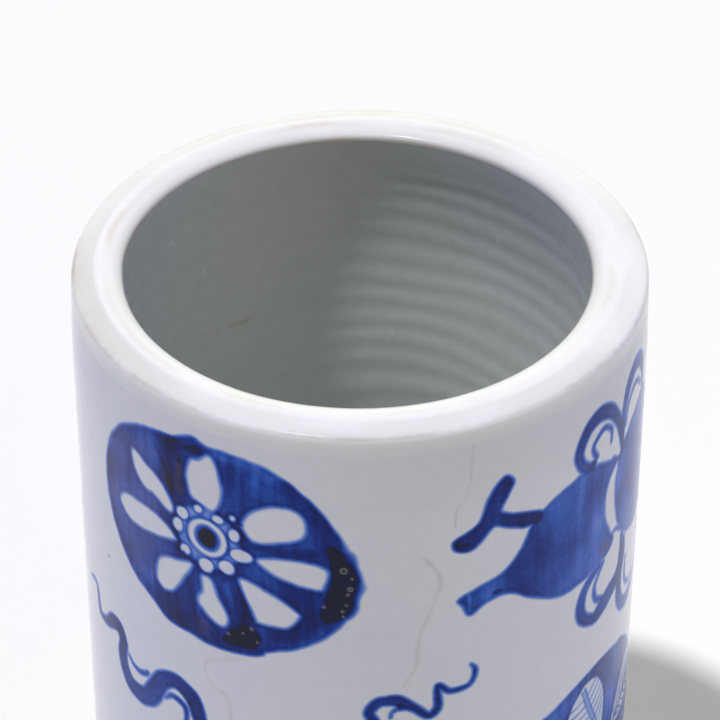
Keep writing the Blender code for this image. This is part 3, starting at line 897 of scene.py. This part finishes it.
def make_foot(material):
    """The turned foot: a bevel outside, the flat resting face and the slope up to the base."""
    corners = [(FOOT_SIDE_R, FOOT_TOP_Z), (FOOT_SIDE_R, FOOT_BEVEL), (FOOT_OUTER_R, 0), (FOOT_INNER_R, 0),
               (FOOT_TOP_INNER_R, FOOT_TOP_Z)]
    outline = rounded(corners, 0.0004, 0.0002)
    angles = around(FOOT_COLUMNS)[None, :]
    r, z = outline[:, :1], outline[:, 1:]
    shape = (len(outline), FOOT_COLUMNS)
    noise = soft_noise(shape, (0.2, 0.4), (0.8, 2.5), SEED + 8)
    tool = 0.00003 * np.sin(r / 0.00035 + z / 0.0005)
    chips = 0.00010 * np.clip(noise - 1.9, 0, 2)
    points = turned_points(r, np.where(z < FOOT_TOP_Z, np.maximum(z + tool + chips, 0), z), angles)
    obj = grid_object("foot_biscuit", points, material)
    add_values(obj, "flash", bell(z - FOOT_BEVEL, 0.0005) * np.clip(0.7 + 0.4 * noise, 0, 1.3))
    return obj


def make_base_coat(material):
    """The glazed patch inside the foot, slightly hollow, with a thin edge where it meets the bare clay."""
    high, low = FOOT_TOP_Z, FOOT_TOP_Z - GLAZE
    r = np.linspace(FOOT_TOP_INNER_R - 0.00005, 0.0003, 90)
    z = low + GLAZE * 0.9 * bell(r - FOOT_TOP_INNER_R, 0.0006) + 0.0001 * smoothstep(0.03, 0.0, r)
    outline = np.column_stack([r, np.minimum(z, high)])
    angles = around(FOOT_COLUMNS // 2)[None, :]
    noise = soft_noise((len(outline), FOOT_COLUMNS // 2), (0.4, 0.6), (4, 4), SEED + 9)
    points = turned_points(outline[:, :1], outline[:, 1:] + 0.00003 * noise, angles)
    return grid_object("base_coat", points, material)


def rounded(corners, radius, step):
    """Rows of (r, z) along straight runs between the corners, with each inner corner rounded off."""
    p = np.array(corners)
    rows = [p[:1]]
    for before, corner, after in zip(p, p[1:], p[2:]):
        start = corner + (before - corner) * radius / np.linalg.norm(before - corner)
        end = corner + (after - corner) * radius / np.linalg.norm(after - corner)
        t = np.linspace(0, 1, 5)[:, None]
        rows.append(start * (1 - t) ** 2 + 2 * corner * t * (1 - t) + end * t ** 2)
    path = np.vstack(rows + [p[-1:]])
    length = np.concatenate([[0], np.cumsum(np.linalg.norm(np.diff(path, axis=0), axis=1))])
    places = np.unique(np.concatenate([np.arange(0, length[-1], step), length]))
    return np.column_stack([np.interp(places, length, path[:, i]) for i in (0, 1)])


# ---------------------------------------------------------------- materials

class Graph:
    """A material's nodes, with one short call for each kind that it needs. Places are in millimetres."""

    def __init__(self, name, roughness, ior=1.5):
        self.material = bpy.data.materials.new(name)
        self.material.use_nodes = True
        self.tree = self.material.node_tree
        self.shader = self.tree.nodes["Principled BSDF"]
        self.shader.inputs["Roughness"].default_value = roughness
        self.shader.inputs["IOR"].default_value = ior
        where = self.tree.nodes.new("ShaderNodeTexCoord")
        scale = self.node("ShaderNodeVectorMath", operation="SCALE")
        self.feed(scale.inputs[0], where.outputs["Object"])
        scale.inputs["Scale"].default_value = 1 / MM
        self.place = scale.outputs[0]

    def node(self, kind, **settings):
        made = self.tree.nodes.new(kind)
        for key, value in settings.items():
            setattr(made, key, value)
        return made

    def feed(self, socket, value):
        if isinstance(value, bpy.types.NodeSocket):
            self.tree.links.new(value, socket)
        else:
            socket.default_value = (*value, 1) if isinstance(value, tuple) and len(value) == 3 else value

    def math(self, operation, a, b=0.0):
        made = self.node("ShaderNodeMath", operation=operation)
        self.feed(made.inputs[0], a)
        self.feed(made.inputs[1], b)
        return made.outputs[0]

    def mix(self, amount, a, b, blend="MIX"):
        made = self.node("ShaderNodeMix", data_type="RGBA", blend_type=blend)
        self.feed(made.inputs["Factor"], amount)
        self.feed(made.inputs[6], a)
        self.feed(made.inputs[7], b)
        return made.outputs[2]

    def ramp(self, amount, *stops):
        """Stops are (position, colour or grey), in order."""
        made = self.node("ShaderNodeValToRGB")
        self.feed(made.inputs[0], amount)
        elements = made.color_ramp.elements
        elements[0].position, elements[1].position = stops[0][0], stops[-1][0]
        for stop in stops[1:-1]:
            elements.new(stop[0])
        for element, (position, colour) in zip(elements, stops):
            element.color = (*colour, 1) if isinstance(colour, tuple) else (colour, colour, colour, 1)
        return made.outputs[0]

    def noise(self, size, detail=2.0, stretch=None):
        """Noise with features about size mm across."""
        made = self.node("ShaderNodeTexNoise")
        made.inputs["Scale"].default_value = 1 / size
        made.inputs["Detail"].default_value = detail
        place = self.place
        if stretch:
            scaled = self.node("ShaderNodeVectorMath", operation="MULTIPLY")
            self.feed(scaled.inputs[0], place)
            scaled.inputs[1].default_value = stretch
            place = scaled.outputs[0]
        self.feed(made.inputs["Vector"], place)
        return made.outputs["Fac"]

    def specks(self, spacing, size, share):
        """1 in small round specks about spacing mm apart. Only a share of them show, and size is in mm."""
        made = self.node("ShaderNodeTexVoronoi")
        made.inputs["Scale"].default_value = 1 / spacing
        self.feed(made.inputs["Vector"], self.place)
        pick = self.node("ShaderNodeSeparateColor")
        self.feed(pick.inputs[0], made.outputs["Color"])
        shown = self.math("LESS_THAN", pick.outputs[0], share)
        radius = self.math("MULTIPLY", pick.outputs[1], size / spacing)
        near = self.math("LESS_THAN", made.outputs["Distance"], radius)
        return self.math("MULTIPLY", near, shown)

    def value(self, name):
        return self.node("ShaderNodeAttribute", attribute_name=name).outputs["Fac"]

    def bump(self, height, depth):
        """Height 0 to 1 stands for depth millimetres."""
        made = self.node("ShaderNodeBump")
        made.inputs["Strength"].default_value = 1
        made.inputs["Distance"].default_value = depth * MM
        self.feed(made.inputs["Height"], height)
        self.feed(self.shader.inputs["Normal"], made.outputs[0])

    def colour(self, value):
        self.feed(self.shader.inputs["Base Color"], value)

    def roughness(self, value):
        self.feed(self.shader.inputs["Roughness"], value)


def glaze_body(g):
    """The white of the glaze over porcelain: slow clouding, faint grey-green patches and fine grain."""
    slow = g.ramp(g.noise(34, 3), (0.35, (0.710, 0.718, 0.757)), (0.65, (0.730, 0.734, 0.760)))
    fine = g.ramp(g.noise(2.6, 4), (0.3, 0.965), (0.7, 1.0))
    tone = g.mix(1.0, slow, fine, "MULTIPLY")
    patch = g.ramp(g.noise(11, 3), (0.60, 0.0), (0.78, 0.35))
    return g.mix(patch, tone, (0.692, 0.701, 0.700))


def painted_glaze():
    g = Graph("painted_glaze", 0.12, 1.24)
    grain = g.math("MULTIPLY", g.math("SUBTRACT", g.noise(0.9, 4), 0.5), 0.22)
    ink = g.math("MULTIPLY", g.value("ink"), g.math("ADD", grain, 1))
    thickness = g.math("DIVIDE", ink, 1.3)
    cobalt = g.ramp(
        thickness,
        (0.0, (1.0, 1.0, 1.0)), (0.11, (0.64, 0.75, 0.95)), (0.12, (0.41, 0.54, 0.85)),
        (0.23, (0.21, 0.35, 0.79)), (0.345, (0.072, 0.20, 0.78)), (0.46, (0.02, 0.108, 0.54)),
        (0.577, (0.005, 0.038, 0.31)), (0.69, (0.004, 0.018, 0.18)), (0.77, (0.006, 0.009, 0.065)),
        (0.86, (0.012, 0.014, 0.035)),
    )
    colour = g.mix(1.0, glaze_body(g), cobalt, "MULTIPLY")
    stained = g.mix(g.math("MULTIPLY", g.value("stain"), 0.55), colour, (0.50, 0.475, 0.42))
    iron = g.mix(g.value("iron"), stained, (0.10, 0.075, 0.16))
    specked = g.mix(g.specks(7, 0.45, 0.10), iron, (0.10, 0.085, 0.07))
    g.colour(g.mix(g.specks(11, 0.7, 0.12), specked, (0.45, 0.36, 0.25)))
    heaped = g.ramp(thickness, (0.80, 0.0), (0.93, 0.22))
    g.roughness(g.math("ADD", heaped, g.ramp(g.noise(5, 3), (0.3, 0.09), (0.7, 0.17))))
    raised = g.math("MULTIPLY", g.value("ink"), 0.35)
    surface = g.math("ADD", g.math("MULTIPLY", g.noise(1.6, 3), 0.6), raised)
    g.bump(g.math("SUBTRACT", surface, g.specks(9, 0.35, 0.2)), 0.02)
    return g.material


def rim_glaze():
    g = Graph("rim_glaze", 0.2)
    # The rim's top is whiter than the wall's glaze: partly a warmer white glaze, partly painted light on the
    # up-facing top.
    warm = g.ramp(g.noise(16, 3), (0.4, (0.895, 0.892, 0.872)), (0.62, (0.92, 0.918, 0.905)))
    fine = g.ramp(g.noise(1.4, 4), (0.3, 0.97), (0.7, 1.0))
    upward = g.node("ShaderNodeSeparateXYZ")
    g.feed(upward.inputs[0], g.place)
    climb = g.math("DIVIDE", g.math("SUBTRACT", upward.outputs[2], HEIGHT / MM - 4), 4)
    top = g.ramp(climb, (0.25, 0.0), (0.62, 1.0))
    colour = g.mix(top, glaze_body(g), g.mix(1.0, warm, fine, "MULTIPLY"))
    # Greys the rim: painted shade on the mouth's inner rounding, and a darker outer band and skirt.
    grey_and_shade = g.mix(g.value("grey_and_shade"), colour, (0.69, 0.685, 0.64))
    stained = g.mix(g.math("MULTIPLY", g.value("stain"), 0.75), grey_and_shade, (0.72, 0.64, 0.50))
    iron = g.mix(g.math("MULTIPLY", g.value("iron"), 0.8), stained, (0.40, 0.30, 0.17))
    rusty = g.mix(g.specks(5, 0.45, 0.06), iron, (0.45, 0.30, 0.13))
    specked = g.mix(g.specks(9, 0.35, 0.10), rusty, (0.12, 0.10, 0.08))
    g.colour(g.mix(g.value("lip"), specked, lining_body(g)))
    g.roughness(g.ramp(g.noise(3, 4), (0.3, 0.12), (0.7, 0.26)))
    g.bump(g.math("SUBTRACT", g.noise(1.1, 3), g.specks(4, 0.3, 0.2)), 0.02)
    return g.material


# The lining's glaze is greyer and darker than the outside's: partly a grey-green glaze, partly painted shade
# for the pot's inside.
def lining_body(g):
    slow = g.ramp(g.noise(26, 3), (0.35, (0.630, 0.660, 0.615)), (0.65, (0.660, 0.688, 0.641)))
    return g.mix(1.0, slow, g.ramp(g.noise(2.2, 4), (0.3, 0.95), (0.7, 1.0)), "MULTIPLY")


def lining_glaze():
    g = Graph("lining_glaze", 0.2)
    ringed = g.mix(g.math("MULTIPLY", g.value("ring"), 0.10), lining_body(g), (0.60, 0.63, 0.62))
    marked = g.mix(g.math("MULTIPLY", g.value("mark"), 0.34), ringed, (0.40, 0.35, 0.23))
    specked = g.mix(g.specks(7, 0.5, 0.14), marked, (0.22, 0.20, 0.16))
    g.colour(g.mix(g.specks(9, 0.3, 0.04), specked, (0.90, 0.90, 0.88)))
    g.roughness(g.ramp(g.noise(4, 3), (0.3, 0.14), (0.7, 0.28)))
    g.bump(g.math("SUBTRACT", g.noise(2.4, 3), g.specks(6, 0.3, 0.15)), 0.03)
    return g.material


def biscuit(name, light, dark):
    """Bare fired clay: matt, with turning lines, grit and rusty flashing where the glaze stops."""
    g = Graph(name, 0.8)
    clay = g.mix(g.ramp(g.noise(6, 4), (0.3, 0.0), (0.7, 1.0)), light, dark)
    grit = g.mix(g.specks(1.6, 0.28, 0.3), clay, (0.30, 0.22, 0.15))
    g.colour(g.mix(g.math("MULTIPLY", g.value("flash"), 0.6), grit, (0.58, 0.32, 0.15)))
    g.roughness(g.ramp(g.noise(1.5, 3), (0.3, 0.72), (0.7, 0.92)))
    g.bump(g.math("ADD", g.noise(0.5, 3), g.noise(3, 2, (0.3, 0.3, 6))), 0.04)
    return g.material


def base_glaze():
    g = Graph("base_glaze", 0.15)
    g.colour(g.mix(g.specks(5, 0.6, 0.2), glaze_body(g), (0.33, 0.26, 0.18)))
    g.roughness(g.ramp(g.noise(4, 3), (0.3, 0.10), (0.7, 0.24)))
    g.bump(g.math("SUBTRACT", g.noise(1.8, 3), g.specks(2.4, 0.3, 0.3)), 0.04)
    return g.material


def floor_surface():
    g = Graph("floor_surface", 0.6)
    g.colour(g.ramp(g.noise(90, 2), (0.3, (0.935, 0.925, 0.87)), (0.7, (0.945, 0.935, 0.88))))
    g.shader.inputs["Specular IOR Level"].default_value = 0.1
    return g.material


# ---------------------------------------------------------------- stage, light and camera

SUN_FROM = Vector((-0.286, -0.035, 0.958))
SUN_ANGLE = math.radians(4.2)
SUN_STRENGTH = 2.34
SUN_COLOUR = (0.893, 0.902, 1.0)
GLINT_FROM = Vector((-0.17, 0.0, 0.985))  # a small lamp overhead, which makes the glaze's highlights
GLINT_ANGLE = math.radians(4.0)
GLINT_STRENGTH = 0.3
# The studio round the pot: each entry is a direction, how tightly its light gathers there, and its colour
STUDIO = (
    ((0, 0, 1), 6, (0.70, 0.74, 0.72)),
    ((0.5, -0.5, 0.707), 6, (0.30, 0.24, 0.40)),
    ((0.69, -0.69, 0.21), 6, (0.42, 0.43, 0.05)),
    ((0.978, 0, 0.208), 6, (0.22, 0.24, 0.85)),
    ((-0.96, -0.2, 0.2), 6, (0.0, 0.02, 0.46)),
    ((0, 0.978, 0.208), 6, (1.66, 1.62, 1.11)),
)
CAMERA_PITCH = math.radians(34.865)
CAMERA_DISTANCE = 11.66 * OUTER_R
CAMERA_TILT = math.radians(-1.655)
CAMERA_LENS = 169.755


def make_floor():
    half = 3.0
    points = np.array([[(-half, -half, 0), (half, -half, 0)], [(-half, half, 0), (half, half, 0)]])
    floor = grid_object("studio_floor", points, floor_surface(), wrap=False, flip=True)


def make_world():
    """A pale studio, bright overhead and behind, and dim on the camera's side."""
    world = bpy.data.worlds.new("studio")
    bpy.context.scene.world = world
    world.use_nodes = True
    tree = world.node_tree
    background = tree.nodes["Background"]
    where = tree.nodes.new("ShaderNodeTexCoord").outputs["Generated"]

    def step(kind, operation, value, setting, output=0):
        made = tree.nodes.new(kind)
        made.operation = operation
        tree.links.new(value, made.inputs[0])
        made.inputs[1].default_value = setting
        return made, made.outputs[output]

    total = None
    for direction, tightness, colour in STUDIO:
        toward = Vector(direction).normalized()
        facing = step("ShaderNodeVectorMath", "DOT_PRODUCT", where, toward, "Value")[1]
        lit = step("ShaderNodeMath", "MAXIMUM", facing, 0)[1]
        gathered = step("ShaderNodeMath", "POWER", lit, tightness)[1]
        add, result = step("ShaderNodeVectorMath", "MULTIPLY_ADD", gathered, colour)
        if total is not None:
            tree.links.new(total, add.inputs[2])
        total = result
    tree.links.new(total, background.inputs["Color"])


def make_sun(name, direction, angle, strength, colour=(1, 1, 1)):
    light = bpy.data.lights.new(name, "SUN")
    light.energy = strength
    light.color = colour
    light.angle = angle
    sun = bpy.data.objects.new(name, light)
    sun.rotation_euler = direction.to_track_quat("Z", "Y").to_euler()
    bpy.context.scene.collection.objects.link(sun)
    return sun


def make_lights():
    """A broad key light that the glaze doesn't mirror, and a small lamp that only the glaze shows."""
    make_sun("key", SUN_FROM, SUN_ANGLE, SUN_STRENGTH, SUN_COLOUR).visible_glossy = False
    make_sun("glint", GLINT_FROM, GLINT_ANGLE, GLINT_STRENGTH).visible_diffuse = False


def make_camera():
    """Looks down at the rim from the front, and lower than its centre by the tilt."""
    away = Vector((0, -math.cos(CAMERA_PITCH), math.sin(CAMERA_PITCH)))
    right = Vector((1, 0, 0))
    back = Matrix.Rotation(CAMERA_TILT, 3, right) @ away
    up = back.cross(right)
    camera = bpy.data.objects.new("camera", bpy.data.cameras.new("camera"))
    turn = Matrix((right, up, back)).transposed().to_4x4()
    camera.matrix_world = Matrix.Translation(Vector((0, 0, RIM_EDGE_Z)) + away * CAMERA_DISTANCE) @ turn
    camera.data.lens = CAMERA_LENS
    camera.data.sensor_width = 36
    camera.data.clip_end = 20
    bpy.context.scene.collection.objects.link(camera)
    bpy.context.scene.camera = camera


def finish_piece(obj, slot, *nodes):
    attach(obj, "root")
    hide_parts(*nodes)


def main():
    make_camera()
    make_world()
    make_lights()
    make_floor()
    canvas = painted_canvas()
    for panel in make_outer_glaze(canvas, painted_glaze()):
        finish_piece(panel, "outer_glaze", "outer_glaze")
    finish_piece(make_rim(rim_glaze()), "rim_glaze", "rim_glaze")
    finish_piece(make_lining(lining_glaze()), "inner_glaze", "inner_glaze")
    foot_clay = biscuit("foot_clay", (0.74, 0.68, 0.58), (0.66, 0.58, 0.47))
    finish_piece(make_foot(foot_clay), "foot_biscuit", "foot_ring")
    finish_piece(make_base_coat(base_glaze()), "base_glaze", "base_glaze")
    clay = biscuit("porcelain_clay", (0.84, 0.81, 0.75), (0.78, 0.74, 0.67))
    for name in ("body_wall", "rim_band", "base_disc"):
        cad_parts[name].data.materials.clear()
        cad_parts[name].data.materials.append(clay)
    bpy.context.scene.view_settings.view_transform = "Standard"


main()
